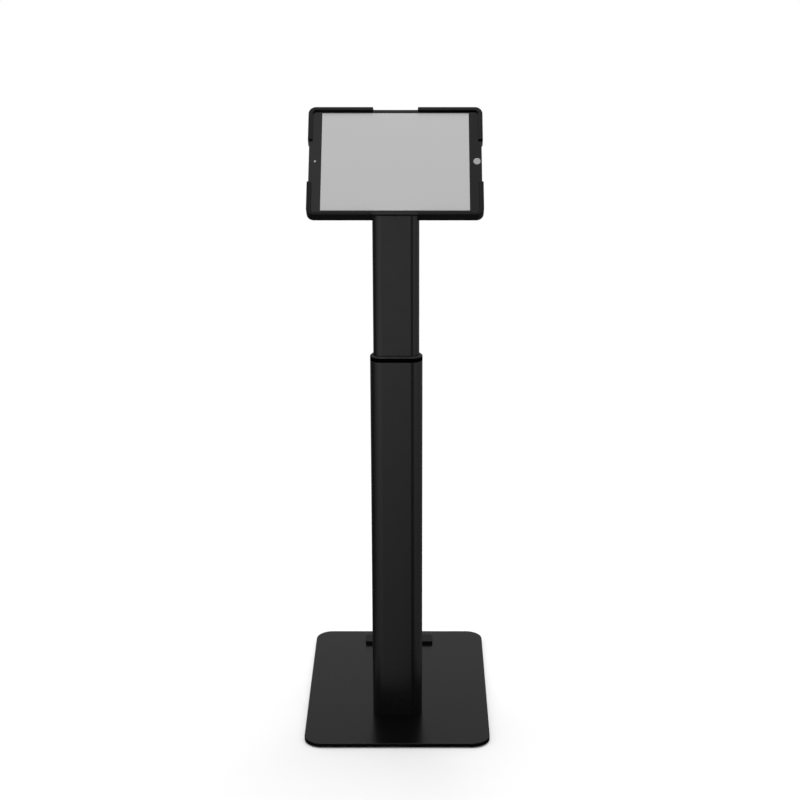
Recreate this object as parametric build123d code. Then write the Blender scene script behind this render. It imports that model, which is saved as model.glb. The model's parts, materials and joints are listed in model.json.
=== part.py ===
from build123d import *
import os

# Adjustable floor stand that carries a tablet in a tilting and turning cradle.
# Millimetres. X runs to the right, the tablet faces -Y and Z is up.
# The origin lies on the floor under the middle of the base plate.

# Base plate and its feet
plate_width = 294.0
plate_depth = 400.0
plate_thick = 6.0
plate_corner = 28.0
plate_edge = 1.0
foot_radius = 16.0
foot_thick = 2.0
foot_edge = 0.5
foot_inset = 32.0

# Low bridge at the rear of the plate, which cables pass under
bridge_width = 118.0
bridge_depth = 28.0
bridge_height = 5.5
bridge_setback = 38.5
bridge_corner = 4.0
bridge_edge = 0.9
tunnel_width = 34.0
tunnel_height = 4.4
tunnel_rib = 12.0

# Column: a lower tube fixed to the plate and an upper tube that slides in it
column_setback = 108.0
lower_width = 80.0
lower_depth = 36.0
lower_wall = 2.5
lower_length = 598.0
upper_wall = 2.0
upper_length = 560.0
upper_reach = 250.0

# Block in the foot of the lower tube
spigot_height = 60.0
spigot_chamfer = 2.0

# Rubber grommet where a cable may leave the lower tube
grommet_rise = 22.0
grommet_neck = 8.0
grommet_bore = 4.75
grommet_lip = 2.5
grommet_lip_thick = 1.5

# Collar and sleeve in the mouth of the lower tube
collar_height = 8.6
collar_chamfer = 2.0
sleeve_wall = 2.15
sleeve_length = 55.0
sleeve_lead = 0.6

# Glide shoe on the lower end of the upper tube
glide_height = 40.0
glide_lip = 3.0

# Height lock at the back of the lower tube
clamp_drop = 30.0
boss_radius = 14.0
boss_height = 6.0
boss_neck = 10.0
pad_radius = 7.0
pad_length = 4.0
pad_gap = 0.2
lock_lift = 1.25
stud_radius = 4.0
knob_radius = 20.0
knob_length = 18.0
knob_lobes = 6
knob_scallop = 7.0
knob_scallop_depth = 2.5
knob_edge = 1.6
knob_hub_radius = 9.0
knob_hub_length = 6.0
knob_gap = 1.0
knob_cap_radius = 10.0
knob_cap_thick = 2.0

# Head of the upper tube: cap, lug and tilting hinge
cap_plug_length = 25.0
cap_plug_wall = 3.0
cap_flange = 4.0
cap_round = 1.0
cable_hole_radius = 4.5
cable_hole_offset = 24.0
hinge_rise = 30.0
lug_radius = 11.0
lug_width = 27.0
hinge_radius = 4.0
hinge_washer_radius = 10.0
hinge_washer_thick = 1.0
cheek_thick = 8.0
cheek_foot = 34.0
hinge_head_radius = 6.5
hinge_head_height = 5.0
hinge_nut_flats = 13.0
hinge_nut_height = 6.5
hinge_spring_thick = 1.2
hinge_thread_spare = 1.5

# Turning joint between the head and the cradle
pivot_radius = 5.0
pivot_head_radius = 9.0
pivot_head_height = 2.9
pivot_thread_spare = 0.3
nut_gap = 1.5
nut_height = 5.5
nut_flats = 15.0
pivot_spring_radius = 9.0
pivot_spring_thick = 1.5
head_radius = 37.5
bracket_thick = 6.0
turn_washer_radius = 19.0
turn_washer_thick = 1.0
rotor_thick = 6.0
rotor_chamfer = 0.6
rotor_screw_circle = 31.0
rotor_screw_start = 45.0
stop_circle = 24.0
stop_radius = 2.0
stop_hold = 4.0
stop_reach = 4.5
stop_gap = 0.3

# How the head stands in the photographed pose
lean_angle = 40.64
turn_angle = 90.0

# Tablet
tablet_width = 250.6
tablet_height = 174.1
tablet_thick = 6.1
tablet_corner = 8.0
tablet_back_round = 2.2
glass_thick = 0.8
glass_inset = 0.4
glass_edge = 0.25
bezel_side = 18.3
bezel_end = 6.8
display_thick = 1.2
home_radius = 5.3
home_inset = 7.2
home_length = 1.0
home_sink = 0.05
home_flange = 1.0
home_flange_thick = 0.6
home_travel = 0.3
lens_radius = 1.6
lens_inset = 9.2

# Cradle: moulded shell, backing plate and pad
shell_side_wall = 1.6
shell_end_wall = 2.5
shell_corner = 11.0
shell_floor = 2.4
shell_skirt = 1.8
skirt_wall = 2.6
shell_rib = 1.6
shell_rib_height = 2.0
shell_rib_gap = 0.5
rib_share_x = (-0.25, 0, 0.25)
rib_share_y = (-0.17, 0.17)
lip_height = 3.5
lip_gap = 0.2
lip_long = 3.0
lip_short = 5.0
lip_round = 1.2
lip_inner_edge = 0.6
lip_window_corner = 5.0
shell_back_round = 1.6
notch_long = 62.0
notch_short = 66.0
notch_slant = 2.4
notch_depth = 3.0
backing_width = 190.0
backing_height = 120.0
backing_thick = 2.0
backing_corner = 12.0
cradle_pad_thick = 2.0
cradle_pad_inset = 5.0
boss_stand = 1.8
cradle_boss_radius = 4.0
cradle_screw_inset = 10.0

# Fasteners: shank radius, shank length, head radius, head height
base_screw = (3.0, 24.0, 6.0, 3.2)
bridge_screw = (2.0, 9.5, 4.0, 2.2)
spigot_screw = (2.5, 11.0, 4.6, 2.6)
sleeve_screw = (1.5, 4.2, 2.8, 1.6)
cap_screw = (2.0, 4.6, 3.6, 2.0)
glide_screw = (1.5, 4.6, 2.8, 1.6)
rotor_screw = (2.0, 10.2, 3.8, 2.2)
cradle_screw = (1.5, 5.6, 2.8, 1.7)
socket_share = 0.5
socket_depth_share = 0.55
base_screw_spread = (48.0, 16.0)
spigot_screw_spread = 28.0
sleeve_screw_spread = 46.0
sleeve_screw_drop = 14.0
cap_screw_spread = 30.0
glide_screw_spread = 30.0

# Fits
seat_clearance = 0.05
slide_clearance = 0.25
glide_clearance = 0.3
shaft_clearance = 0.05
pad_clearance = 0.1
hole_clearance = 0.1
tablet_clearance = 0.25
overrun = 1.0

# Levels and places that follow from the sizes above
plate_bottom = foot_thick
plate_top = plate_bottom + plate_thick
column_y = -plate_depth / 2 + column_setback
lower_top = plate_top + lower_length
inner_width = lower_width - 2 * lower_wall
inner_depth = lower_depth - 2 * lower_wall
sleeve_width = inner_width - 2 * seat_clearance
sleeve_depth = inner_depth - 2 * seat_clearance
upper_width = sleeve_width - 2 * sleeve_wall - 2 * slide_clearance
upper_depth = sleeve_depth - 2 * sleeve_wall - 2 * slide_clearance
upper_top = lower_top + upper_reach
upper_bottom = upper_top - upper_length
hinge_z = upper_top + hinge_rise
grommet_z = plate_top + spigot_height + grommet_rise
clamp_z = lower_top - clamp_drop
wall_back = lower_depth / 2
boss_face = wall_back + boss_height
pad_front = upper_depth / 2 + pad_gap
pad_back = pad_front + pad_length
hub_front = boss_face + knob_gap
grip_front = hub_front + knob_hub_length
grip_back = grip_front + knob_length
washer_face = lug_width / 2 + seat_clearance
cheek_face = washer_face + hinge_washer_thick + seat_clearance
cheek_back = cheek_face + cheek_thick

# Levels along the tablet's normal, counted from the hinge axis
nut_back = lug_radius + nut_gap
spring_back = nut_back + nut_height
bracket_back = spring_back + pivot_spring_thick
bracket_face = bracket_back + bracket_thick
rotor_back = bracket_face + turn_washer_thick
backing_back = rotor_back + rotor_thick
floor_back = backing_back + backing_thick
floor_face = floor_back + shell_floor
tablet_back = floor_face + cradle_pad_thick
glass_face = tablet_back + tablet_thick
glass_back = glass_face - glass_thick
lip_top = glass_face + lip_height
screen_width = tablet_width - 2 * bezel_side
screen_height = tablet_height - 2 * bezel_end
pocket_width = tablet_width + 2 * tablet_clearance
pocket_height = tablet_height + 2 * tablet_clearance
shell_width = pocket_width + 2 * shell_side_wall
shell_height = pocket_height + 2 * shell_end_wall
shell_back = backing_back - shell_skirt
home_x = tablet_width / 2 - home_inset
lens_x = -tablet_width / 2 + lens_inset
home_face = glass_face - home_sink
home_foot = home_face - home_length - home_flange_thick

# Places of the column's and the head's own frames
column = Pos(0, column_y, 0)
head = Pos(0, column_y, hinge_z) * Rot(90 - lean_angle, 0, 0)


def slab(outline, low, high):
    """An outline raised from one level to another."""
    return Pos(0, 0, low) * extrude(outline, high - low)


def rod(radius, low, high):
    """A round rod along Z between two levels."""
    return Pos(0, 0, (low + high) / 2) * Cylinder(radius, high - low)


def to_back(piece):
    """Turns a piece made along +Z so that it points along +Y from the column's axis."""
    return column * Rot(-90, 0, 0) * piece


def to_side(piece):
    """Turns a piece made along +Z so that it points along +X."""
    return Rot(0, 90, 0) * piece


def rectangle_places(width, depth):
    """The four corners of a rectangle about the origin."""
    return [(x, y) for x in (-width / 2, width / 2) for y in (-depth / 2, depth / 2)]


def hexagon(flats):
    """A hexagon of a given width across its flats."""
    return RegularPolygon(flats / 2, 6, major_radius=False)


def socket(size, top):
    """The hexagonal recess of a screw's head, sunk from a level."""
    head_radius, head_height = size[2:]
    depth = socket_depth_share * head_height
    return slab(hexagon(2 * socket_share * head_radius), top - depth, top + overrun)


def pan_screw(size):
    """A screw along -Z whose head stands on the level of the origin."""
    radius, length, head_radius, head_height = size
    head_part = rod(head_radius, 0, head_height)
    head_part = chamfer(head_part.edges().group_by(Axis.Z)[-1], head_height / 3)
    return rod(radius, -length, 0) + head_part - socket(size, head_height)


def sunk_screw(size):
    """A countersunk screw along -Z whose flat head ends at the level of the origin."""
    radius, length, head_radius, head_height = size
    cone = Pos(0, 0, -head_height / 2) * Cone(radius, head_radius, head_height)
    return rod(radius, -length, 0) + cone - socket(size, 0)


def sunk_hole(size):
    """The room that a countersunk screw needs."""
    radius, length, head_radius, head_height = size
    play = hole_clearance
    cone = Pos(0, 0, -head_height / 2) * Cone(radius + play, head_radius + play, head_height)
    return rod(radius + play, -length - play, overrun) + cone + rod(head_radius + play, 0, overrun)


def pan_hole(size):
    """The room that a pan screw's shank needs."""
    radius, length = size[:2]
    return rod(radius + hole_clearance, -length - hole_clearance, overrun)


def base_screw_places():
    """Base screws point up, with their heads in the underside of the plate."""
    turn = Pos(0, column_y, plate_bottom) * Rot(180, 0, 0)
    return [turn * Pos(x, y, 0) for x, y in rectangle_places(*base_screw_spread)]


def bridge_place():
    """Where the bridge stands, near the rear edge of the plate."""
    return Pos(0, plate_depth / 2 - bridge_setback, plate_top)


def bridge_screw_places():
    """The bridge's two screws, in the middle of its end legs, pointing up."""
    leg = (bridge_width - tunnel_rib) / 2 - tunnel_width
    reach = bridge_width / 2 - leg / 2
    turn = bridge_place() * Pos(0, 0, -plate_thick) * Rot(180, 0, 0)
    return [turn * Pos(side * reach, 0, 0) for side in (-1, 1)]


def back_places(spread, level, face):
    """Two places side by side on a face behind the column's axis, heads outwards."""
    return [Pos(side * spread / 2, column_y + face, level) * Rot(-90, 0, 0) for side in (-1, 1)]


def spigot_screw_places():
    return back_places(spigot_screw_spread, plate_top + spigot_height / 2, wall_back)


def sleeve_screw_places():
    return back_places(sleeve_screw_spread, lower_top - sleeve_screw_drop, wall_back)


def cap_screw_places():
    return back_places(cap_screw_spread, upper_top - cap_plug_length / 2, upper_depth / 2)


def glide_screw_places():
    """Flush screws in the back of the glide shoe."""
    face = inner_depth / 2 - glide_clearance
    return back_places(glide_screw_spread, upper_bottom + glide_height / 2, face)


def foot_places():
    """Under the four corners of the plate."""
    return rectangle_places(plate_width - 2 * foot_inset, plate_depth - 2 * foot_inset)


def rotor_screw_places():
    """Four countersunk screws from the shell's floor into the rotor."""
    spots = PolarLocations(rotor_screw_circle, 4, start_angle=rotor_screw_start)
    return [Pos(0, 0, floor_face) * spot for spot in spots]


def cradle_screw_places():
    """Screws along the long edges of the backing plate, heads at its back."""
    reach_x = backing_width / 2 - cradle_screw_inset
    reach_y = backing_height / 2 - cradle_screw_inset
    spots = [(x, y) for x in (-reach_x, 0, reach_x) for y in (-reach_y, reach_y)]
    return [Pos(x, y, backing_back) * Rot(180, 0, 0) for x, y in spots]


def base_plate():
    plate = slab(RectangleRounded(plate_width, plate_depth, plate_corner), plate_bottom, plate_top)
    plate = fillet(plate.edges().group_by(Axis.Z)[-1], plate_edge)
    for place in base_screw_places():
        plate -= place * sunk_hole(base_screw)
    for place in bridge_screw_places():
        plate -= place * sunk_hole(bridge_screw)
    return plate


def foot_pads():
    foot = rod(foot_radius, 0, foot_thick)
    foot = chamfer(foot.edges().group_by(Axis.Z)[0], foot_edge)
    return Compound([Pos(x, y, 0) * foot for x, y in foot_places()])


def cable_bridge():
    """A low moulded bridge with two tunnels that run from front to back."""
    block = slab(RectangleRounded(bridge_width, bridge_depth, bridge_corner), 0, bridge_height)
    block = fillet(block.edges().group_by(Axis.Z)[-1], bridge_edge)
    reach = (tunnel_rib + tunnel_width) / 2
    tunnel = Box(tunnel_width, bridge_depth + 2 * overrun, 2 * tunnel_height)
    for side in (-1, 1):
        block -= Pos(side * reach, 0, 0) * tunnel
    block = bridge_place() * block
    for place in bridge_screw_places():
        block -= place * sunk_hole(bridge_screw)
    return block


def column_spigot():
    """A block that stands on the plate inside the foot of the lower tube."""
    width = inner_width - 2 * hole_clearance
    depth = inner_depth - 2 * hole_clearance
    block = slab(SlotOverall(width, depth), plate_top, plate_top + spigot_height)
    block = column * chamfer(block.edges().group_by(Axis.Z)[-1], spigot_chamfer)
    for place in base_screw_places():
        block -= place * sunk_hole(base_screw)
    for place in spigot_screw_places():
        block -= place * pan_hole(spigot_screw)
    return block


def lower_tube():
    outline = SlotOverall(lower_width, lower_depth) - SlotOverall(inner_width, inner_depth)
    tube = column * slab(outline, plate_top, lower_top)
    wall_low, wall_high = wall_back - lower_wall - overrun, wall_back + overrun
    tube -= Pos(0, 0, grommet_z) * to_back(rod(grommet_neck + seat_clearance, wall_low, wall_high))
    tube -= Pos(0, 0, clamp_z) * to_back(rod(boss_neck + seat_clearance, wall_low, wall_high))
    for place in spigot_screw_places():
        tube -= place * pan_hole(spigot_screw)
    for place in sleeve_screw_places():
        tube -= place * pan_hole(sleeve_screw)
    return tube


def cable_grommet():
    """A rubber ring with a lip on each side of the tube's wall."""
    inside = wall_back - lower_wall
    lip_radius = grommet_neck + grommet_lip
    ring = rod(grommet_neck, inside, wall_back)
    outer_lip = rod(lip_radius, wall_back, wall_back + grommet_lip_thick)
    outer_lip = fillet(outer_lip.edges().group_by(Axis.Z)[-1], grommet_lip_thick / 2)
    inner_lip = rod(lip_radius, inside - grommet_lip_thick, inside)
    bore = rod(grommet_bore, inside - grommet_lip_thick - overrun, wall_back + grommet_lip_thick + overrun)
    return Pos(0, 0, grommet_z) * to_back(ring + outer_lip + inner_lip - bore)


def top_bushing():
    """The collar on the mouth of the lower tube with the sleeve that guides the upper tube."""
    collar = slab(SlotOverall(lower_width, lower_depth), lower_top, lower_top + collar_height)
    collar = chamfer(collar.edges().group_by(Axis.Z)[-1], collar_chamfer)
    sleeve = slab(SlotOverall(sleeve_width, sleeve_depth), lower_top - sleeve_length, lower_top)
    bore_width = upper_width + 2 * slide_clearance
    bore_depth = upper_depth + 2 * slide_clearance
    bore = SlotOverall(bore_width, bore_depth)
    body = collar + sleeve
    body -= slab(bore, lower_top - sleeve_length - overrun, lower_top + collar_height + overrun)
    mouth = body.faces().sort_by(Axis.Z)[-1].inner_wires()[0]
    body = column * chamfer(mouth.edges(), sleeve_lead)
    window = rod(pad_radius + pad_clearance, upper_depth / 2, wall_back - lower_wall)
    body -= Pos(0, 0, clamp_z) * to_back(window)
    for place in sleeve_screw_places():
        body -= place * pan_hole(sleeve_screw)
    return body


def clamp_boss():
    """The threaded boss of the height lock, set in the back wall of the lower tube."""
    boss = rod(boss_radius, wall_back, boss_face)
    boss = fillet(boss.edges().group_by(Axis.Z)[-1], boss_height / 4)
    boss += rod(boss_neck, wall_back - lower_wall, wall_back)
    bore_end = pad_back + lock_lift + pad_clearance
    boss -= rod(pad_radius + pad_clearance, wall_back - lower_wall - overrun, bore_end)
    boss -= rod(stud_radius + shaft_clearance, wall_back - lower_wall, boss_face + overrun)
    return Pos(0, 0, clamp_z) * to_back(boss)


def brake_pad():
    pad = rod(pad_radius, pad_front, pad_back)
    pad = chamfer(pad.edges().group_by(Axis.Z)[0], pad_length / 8)
    return Pos(0, 0, clamp_z) * to_back(pad)


def knob_stud():
    stud = rod(stud_radius, pad_back + pad_clearance, grip_back - 2 * knob_cap_thick)
    stud = chamfer(stud.edges().group_by(Axis.Z)[0], stud_radius / 5)
    return Pos(0, 0, clamp_z) * to_back(stud)


def lock_knob():
    """A scalloped hand knob on a short hub."""
    outline = Circle(knob_radius)
    reach = knob_radius + knob_scallop - knob_scallop_depth
    for spot in PolarLocations(reach, knob_lobes):
        outline -= spot * Circle(knob_scallop)
    outline = fillet(outline.vertices(), knob_scallop_depth)
    grip = slab(outline, grip_front, grip_back)
    grip = fillet(grip.edges().group_by(Axis.Z)[-1], knob_edge)
    grip += rod(knob_hub_radius, hub_front, grip_front)
    grip -= rod(stud_radius + seat_clearance, hub_front - overrun, grip_back - 2 * knob_cap_thick)
    grip -= rod(knob_cap_radius, grip_back - knob_cap_thick, grip_back + overrun)
    return Pos(0, 0, clamp_z) * to_back(grip)


def knob_cap():
    cap = rod(knob_cap_radius - seat_clearance, grip_back - knob_cap_thick, grip_back)
    cap = chamfer(cap.edges().group_by(Axis.Z)[-1], knob_cap_thick / 6)
    return Pos(0, 0, clamp_z) * to_back(cap)


def upper_tube():
    outer = SlotOverall(upper_width, upper_depth)
    inner = SlotOverall(upper_width - 2 * upper_wall, upper_depth - 2 * upper_wall)
    tube = column * slab(outer - inner, upper_bottom, upper_top)
    for place in cap_screw_places():
        tube -= place * pan_hole(cap_screw)
    for place in glide_screw_places():
        tube -= place * sunk_hole(glide_screw)
    return tube


def lower_glide():
    """A shoe round the lower end of the upper tube, with a lip under the tube's end."""
    outer_width = inner_width - 2 * glide_clearance
    outer_depth = inner_depth - 2 * glide_clearance
    outline = SlotOverall(outer_width, outer_depth)
    body = slab(outline, upper_bottom - glide_lip, upper_bottom + glide_height)
    seat = SlotOverall(upper_width + 2 * seat_clearance, upper_depth + 2 * seat_clearance)
    body -= slab(seat, upper_bottom, upper_bottom + glide_height + overrun)
    hollow = SlotOverall(upper_width - 2 * upper_wall, upper_depth - 2 * upper_wall)
    body -= slab(hollow, upper_bottom - glide_lip - overrun, upper_bottom + overrun)
    body = column * body
    for place in glide_screw_places():
        body -= place * sunk_hole(glide_screw)
    return body


def upper_cap():
    """The casting that plugs the upper tube and carries the hinge's lug."""
    plug_width = upper_width - 2 * upper_wall - 2 * seat_clearance
    plug_depth = upper_depth - 2 * upper_wall - 2 * seat_clearance
    plug = slab(SlotOverall(plug_width, plug_depth), upper_top - cap_plug_length, upper_top)
    hollow = SlotOverall(plug_width - 2 * cap_plug_wall, plug_depth - 2 * cap_plug_wall)
    plug -= slab(hollow, upper_top - cap_plug_length - overrun, upper_top)
    flange = slab(SlotOverall(upper_width, upper_depth), upper_top, upper_top + cap_flange)
    flange = fillet(flange.edges().group_by(Axis.Z)[-1], cap_round)
    stem = Rectangle(lug_width, 2 * lug_radius)
    body = plug + flange + slab(stem, upper_top + cap_flange / 2, hinge_z)
    barrel = rod(lug_radius, -lug_width / 2, lug_width / 2)
    body += Pos(0, 0, hinge_z) * to_side(barrel)
    bore = rod(hinge_radius + shaft_clearance, -lug_width, lug_width)
    body -= Pos(0, 0, hinge_z) * to_side(bore)
    for side in (-1, 1):
        body -= Pos(side * cable_hole_offset, 0, 0) * rod(cable_hole_radius, upper_top - overrun, hinge_z)
    body = column * body
    for place in cap_screw_places():
        body -= place * pan_hole(cap_screw)
    return body


def hinge_washers():
    ring = rod(hinge_washer_radius, washer_face, washer_face + hinge_washer_thick)
    ring -= rod(hinge_radius + shaft_clearance, 0, cheek_back)
    pair = [Pos(0, column_y, hinge_z) * to_side(Rot(0, turn, 0) * ring) for turn in (0, 180)]
    return Compound(pair)


def tilt_bracket():
    """Two cheeks on the hinge carry a round plate that the cradle turns on."""
    half = cheek_foot / 2
    side = [(-lug_radius, 0), (lug_radius, 0), (half, bracket_back), (-half, bracket_back)]
    cheek = extrude(Plane.YZ * Polygon(*side, align=None), cheek_thick)
    cheek += to_side(rod(lug_radius, 0, cheek_thick))
    body = slab(Circle(head_radius), bracket_back, bracket_face)
    body = chamfer(body.edges().group_by(Axis.Z)[0], rotor_chamfer)
    for low in (cheek_face, -cheek_back):
        body += Pos(low, 0, 0) * cheek
    body -= to_side(rod(hinge_radius + seat_clearance, -cheek_back - overrun, cheek_back + overrun))
    body -= rod(pivot_radius + shaft_clearance, bracket_back - overrun, bracket_face + overrun)
    pin_hole = rod(stop_radius + seat_clearance, bracket_face - stop_hold, bracket_face + overrun)
    body -= stop_place() * pin_hole
    return head * body


def stop_place():
    """Where the stop pin stands on the bracket's plate."""
    return Pos(stop_circle, 0, 0)


def stop_pin():
    return head * stop_place() * rod(stop_radius, bracket_face - stop_hold, bracket_face + stop_reach)


def hinge_bolt():
    start = -cheek_back
    end = cheek_back + hinge_spring_thick + hinge_nut_height + hinge_thread_spare
    bolt = rod(hinge_radius, start, end)
    cap = rod(hinge_head_radius, start - hinge_head_height, start)
    cap = chamfer(cap.edges().group_by(Axis.Z)[0], hinge_head_height / 8)
    recess = hexagon(hinge_head_radius)
    bolt += cap
    bolt -= slab(recess, start - hinge_head_height - overrun, start - hinge_head_height / 2)
    return head * to_side(bolt)


def hinge_spring():
    end = cheek_back + hinge_spring_thick
    ring = rod(hinge_head_radius, cheek_back, end)
    ring -= rod(hinge_radius + seat_clearance, cheek_back - overrun, end + overrun)
    return head * to_side(ring)


def hinge_nut():
    start = cheek_back + hinge_spring_thick
    nut = slab(hexagon(hinge_nut_flats), start, start + hinge_nut_height)
    nut -= rod(hinge_radius + seat_clearance, start - overrun, start + hinge_nut_height + overrun)
    return head * to_side(nut)


def turn_washer():
    ring = rod(turn_washer_radius, bracket_face, rotor_back)
    ring -= rod(pivot_radius + shaft_clearance, bracket_back, rotor_back + overrun)
    return head * ring


def rotor():
    """The disc that turns on the bracket, with a curved slot for the stop pin."""
    disc = slab(Circle(head_radius), rotor_back, backing_back)
    disc = chamfer(disc.edges().group_by(Axis.Z)[0], rotor_chamfer)
    way = CenterArc((0, 0), stop_circle, -turn_angle, turn_angle)
    track = SlotArc(way, 2 * (stop_radius + stop_gap))
    disc -= slab(track, rotor_back - overrun, rotor_back + stop_reach)
    disc -= rod(pivot_radius + seat_clearance, rotor_back - overrun, backing_back)
    disc -= rod(pivot_head_radius + seat_clearance, backing_back - pivot_head_height, backing_back + overrun)
    for place in rotor_screw_places():
        disc -= place * sunk_hole(rotor_screw)
    return head * disc


def pivot_bolt():
    shank = rod(pivot_radius, nut_back - pivot_thread_spare, backing_back - pivot_head_height)
    return head * (shank + rod(pivot_head_radius, backing_back - pivot_head_height, backing_back))


def pivot_nut():
    nut = slab(hexagon(nut_flats), nut_back, spring_back)
    nut -= rod(pivot_radius + seat_clearance, nut_back - overrun, spring_back + overrun)
    return head * nut


def pivot_spring():
    ring = rod(pivot_spring_radius, spring_back, bracket_back)
    ring -= rod(pivot_radius + seat_clearance, spring_back - overrun, bracket_back + overrun)
    return head * ring


def backing_plate():
    outline = RectangleRounded(backing_width, backing_height, backing_corner)
    plate = slab(outline, backing_back, floor_back)
    for place in rotor_screw_places():
        plate -= place * sunk_hole(rotor_screw)
    for place in cradle_screw_places():
        plate -= place * pan_hole(cradle_screw)
    return head * plate


def notch(length, low, high):
    """The outline of a notch in a wall, wider towards the lip."""
    half = length / 2
    wide = half + notch_slant
    return Polygon((-half, low), (half, low), (wide, high), (-wide, high), align=None)


def shell_notches():
    """Notches through the middle of the four walls, down to the back of the shell."""
    low, high = shell_back - overrun, lip_top + overrun
    cut = extrude(Plane.YZ * notch(notch_short, low, high), shell_width, both=True)
    cut += extrude(Plane.XZ * notch(notch_long, low, high), shell_height, both=True)
    kept = Rectangle(tablet_width - 2 * notch_depth, tablet_height - 2 * notch_depth)
    return cut - slab(kept, low - overrun, glass_face)


def shell_ribs():
    """Ribs behind the shell's floor, from the skirt to the backing plate."""
    level = floor_back - shell_rib_height
    bars = [Pos(share * shell_width, 0) * Rectangle(shell_rib, pocket_height) for share in rib_share_x]
    bars += [Pos(0, share * shell_height) * Rectangle(pocket_width, shell_rib) for share in rib_share_y]
    room = RectangleRounded(backing_width, backing_height, backing_corner)
    room = slab(offset(room, shell_rib_gap), level - overrun, floor_back)
    ribs = [slab(bar, level, floor_back + shell_floor / 2) - room for bar in bars]
    return Part() + ribs


def cradle_shell():
    """A moulded tray whose four corner guards fold over the tablet's edge."""
    outline = RectangleRounded(shell_width, shell_height, shell_corner)
    shell = slab(outline, shell_back, lip_top)
    shell = fillet(shell.edges().group_by(Axis.Z)[-1], lip_round)
    shell = fillet(shell.edges().group_by(Axis.Z)[0], shell_back_round)
    pocket = RectangleRounded(pocket_width, pocket_height, tablet_corner + tablet_clearance)
    shell -= slab(pocket, floor_face, glass_face + lip_gap)
    window_width = tablet_width - 2 * lip_short
    window_height = tablet_height - 2 * lip_long
    window = RectangleRounded(window_width, window_height, lip_window_corner)
    shell -= slab(window, glass_face, lip_top + overrun)
    shell -= slab(offset(window, lip_inner_edge), lip_top - lip_inner_edge, lip_top + overrun)
    hollow = offset(outline, -skirt_wall)
    shell -= slab(hollow, shell_back - overrun, floor_back)
    shell += shell_ribs()
    shell -= shell_notches()
    boss = rod(cradle_boss_radius, floor_face - shell_floor / 2, floor_face + boss_stand)
    for place in cradle_screw_places():
        shell += Pos(place.position.X, place.position.Y, 0) * boss
        shell -= place * pan_hole(cradle_screw)
    for place in rotor_screw_places():
        shell -= place * sunk_hole(rotor_screw)
    return head * shell


def cradle_pad():
    """A thin foam sheet between the shell's floor and the tablet."""
    width = tablet_width - 2 * cradle_pad_inset
    height = tablet_height - 2 * cradle_pad_inset
    pad = slab(RectangleRounded(width, height, tablet_corner), floor_face, tablet_back)
    hole = rod(cradle_boss_radius + glide_clearance, floor_face - overrun, tablet_back + overrun)
    for place in cradle_screw_places():
        pad -= Pos(place.position.X, place.position.Y, 0) * hole
    return head * pad


def tablet_body():
    """The tablet's housing, with a pocket for the display and a well for the button."""
    outline = RectangleRounded(tablet_width, tablet_height, tablet_corner)
    body = slab(outline, tablet_back, glass_back)
    body = fillet(body.edges().group_by(Axis.Z)[0], tablet_back_round)
    pocket = Rectangle(screen_width + 2 * seat_clearance, screen_height + 2 * seat_clearance)
    body -= slab(pocket, glass_back - display_thick, glass_back + overrun)
    well_radius = home_radius + home_flange + hole_clearance
    well_floor = home_foot - home_travel - hole_clearance
    body -= Pos(home_x, 0, 0) * rod(well_radius, well_floor, glass_back + overrun)
    return head * body


def tablet_display():
    return head * slab(Rectangle(screen_width, screen_height), glass_back - display_thick, glass_back)


def tablet_glass():
    """The cover glass, with holes for the home button and the camera."""
    width = tablet_width - 2 * glass_inset
    height = tablet_height - 2 * glass_inset
    glass = slab(RectangleRounded(width, height, tablet_corner - glass_inset), glass_back, glass_face)
    glass = chamfer(glass.edges().group_by(Axis.Z)[-1], glass_edge)
    low, high = glass_back - overrun, glass_face + overrun
    glass -= Pos(home_x, 0, 0) * rod(home_radius + hole_clearance, low, high)
    glass -= Pos(lens_x, 0, 0) * rod(lens_radius + seat_clearance, low, high)
    return head * glass


def camera_lens():
    return head * Pos(lens_x, 0, 0) * rod(lens_radius, glass_back, glass_face - home_sink)


def home_button():
    """A round button whose flange is held under the glass."""
    stem = rod(home_radius, home_face - home_length, home_face)
    stem = chamfer(stem.edges().group_by(Axis.Z)[-1], home_sink)
    flange = rod(home_radius + home_flange, home_foot, home_face - home_length)
    return head * Pos(home_x, 0, 0) * (stem + flange)


def screws(kind, size, places):
    """Alike screws as one group of separate solids."""
    return Compound([place * kind(size) for place in places])


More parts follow.
